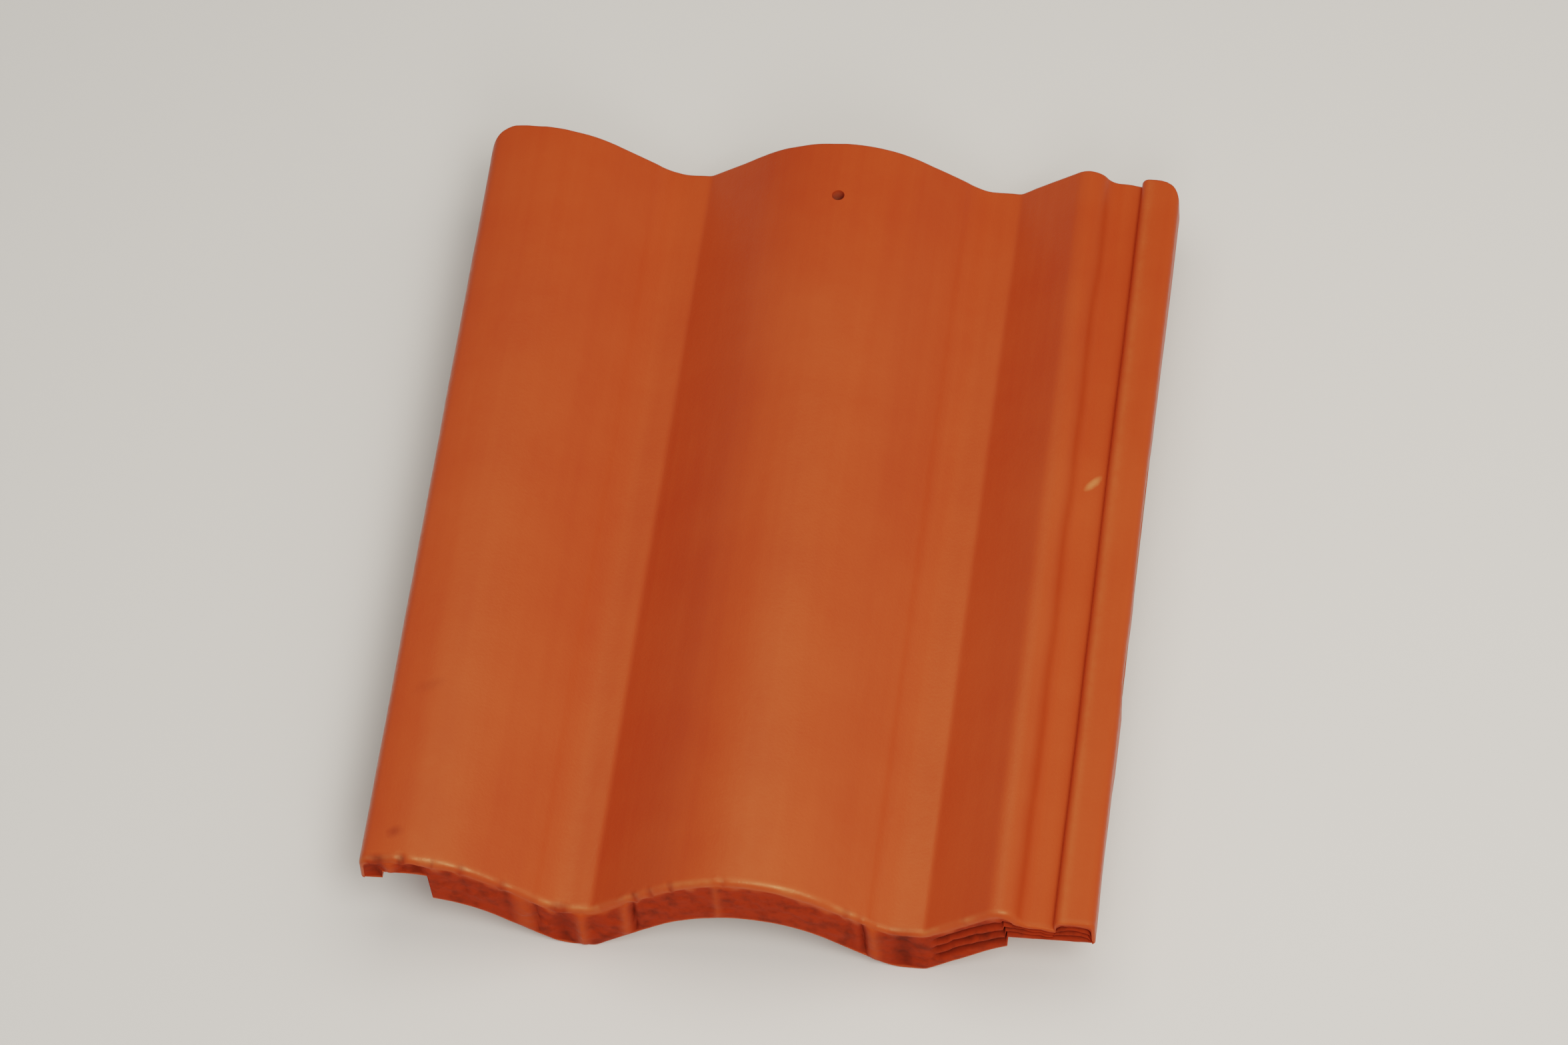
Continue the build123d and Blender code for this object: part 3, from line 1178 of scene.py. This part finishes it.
@dataclass
class Studio:
    """Pale floor, soft lights and the camera at the photograph's viewing angle."""

    floor_half: float = 6.0
    floor_lines: int = 9
    floor_tone: str = "#E6E4E0"
    floor_roughness: float = 0.9
    sky_tone: str = "#F2F2F0"
    sky_power: float = 0.35
    lights: tuple[SoftLight, ...] = (
        SoftLight("key_light", (1.3, -1.75, 3.4), (0.0, 0.0, 0.03), 1.5, 83.0, "#FFF8EE"),
        SoftLight("front_light", (0.3, -1.0, 0.9), (0.0, -0.1, 0.03), 0.5, 5.8, "#FFF8EE"),
        SoftLight("sheen_light", (0.03, 0.08, 0.9), (0.0, -0.1, 0.03), 0.7, 3.6, "#FFF3E2"),
        SoftLight("right_sheen_light", (0.8, 0.15, 0.8), (0.0, -0.1, 0.03), 0.8, 2.2, "#FFF3E2"),
    )
    aim: tuple[float, float, float] = (0.0, 0.0, 0.042)
    azimuth: float = 12.1
    elevation: float = 54.3
    roll: float = -6.15
    distance: float = 3.2
    focal_px: float = 10390.0
    image_width_px: float = 2352.0
    sensor_mm: float = 36.0

    def build_floor(self) -> None:
        """Lays the floor: a level grid with a plain matt finish."""
        line = np.linspace(-self.floor_half, self.floor_half, self.floor_lines)
        x, y = np.meshgrid(line, line)
        points = np.stack([x, y, np.zeros_like(x)], axis=-1).reshape(-1, 3)
        mesh = bpy.data.meshes.new("studio_floor")
        faces = RoofTile.quads(np.arange(len(points)).reshape(x.shape), -1)
        mesh.from_pydata(points.tolist(), [], faces.tolist())
        material = bpy.data.materials.new("matt_floor")
        material.use_nodes = True
        surface = material.node_tree.nodes["Principled BSDF"]
        surface.inputs["Base Color"].default_value = linear(self.floor_tone)
        surface.inputs["Roughness"].default_value = self.floor_roughness
        mesh.materials.append(material)
        floor = add_object("studio_floor", mesh)

    def build_lights(self) -> None:
        """Lights the scene: an even pale surround and the studio lights."""
        world = bpy.data.worlds.new("studio_surround")
        world.use_nodes = True
        surround = world.node_tree.nodes["Background"]
        surround.inputs["Color"].default_value = linear(self.sky_tone)
        surround.inputs["Strength"].default_value = self.sky_power
        bpy.context.scene.world = world
        for light in self.lights:
            light.build()
        bpy.context.scene.view_settings.view_transform = "Filmic"

    def build_camera(self) -> None:
        """Sets the camera: its axes and distance come from the tile's corners in the photograph."""
        data = bpy.data.cameras.new("photo_camera")
        data.sensor_width = self.sensor_mm
        data.lens = self.focal_px / self.image_width_px * self.sensor_mm
        camera = add_object("photo_camera", data)
        turn = Matrix.Rotation(math.radians(self.azimuth), 4, "Z")
        tilt = Matrix.Rotation(math.radians(90.0 - self.elevation), 4, "X")
        lean = Matrix.Rotation(math.radians(self.roll), 4, "Z")
        away = Matrix.Translation((0.0, 0.0, self.distance))
        camera.matrix_world = Matrix.Translation(self.aim) @ turn @ tilt @ away @ lean
        bpy.context.scene.camera = camera


def clear_start_scene() -> None:
    """Takes away the objects that Blender's own start scene brings, and leaves the CAD frame."""
    for name in ("Cube", "Light", "Camera"):
        if name in bpy.data.objects:
            bpy.data.objects.remove(bpy.data.objects[name])


def main() -> None:
    logging.basicConfig(level=logging.INFO, format="%(name)s: %(message)s")
    clear_start_scene()
    tile = RoofTile()
    casting = tile.build()
    tile.dress(casting)
    casting.data.calc_loop_triangles()
    log.info("%s: %d triangles", casting.name, len(casting.data.loop_triangles))
    studio = Studio()
    studio.build_floor()
    studio.build_lights()
    studio.build_camera()
    log.info("studio: floor, %d lights and camera", len(studio.lights))


if __name__ == "__main__":
    main()
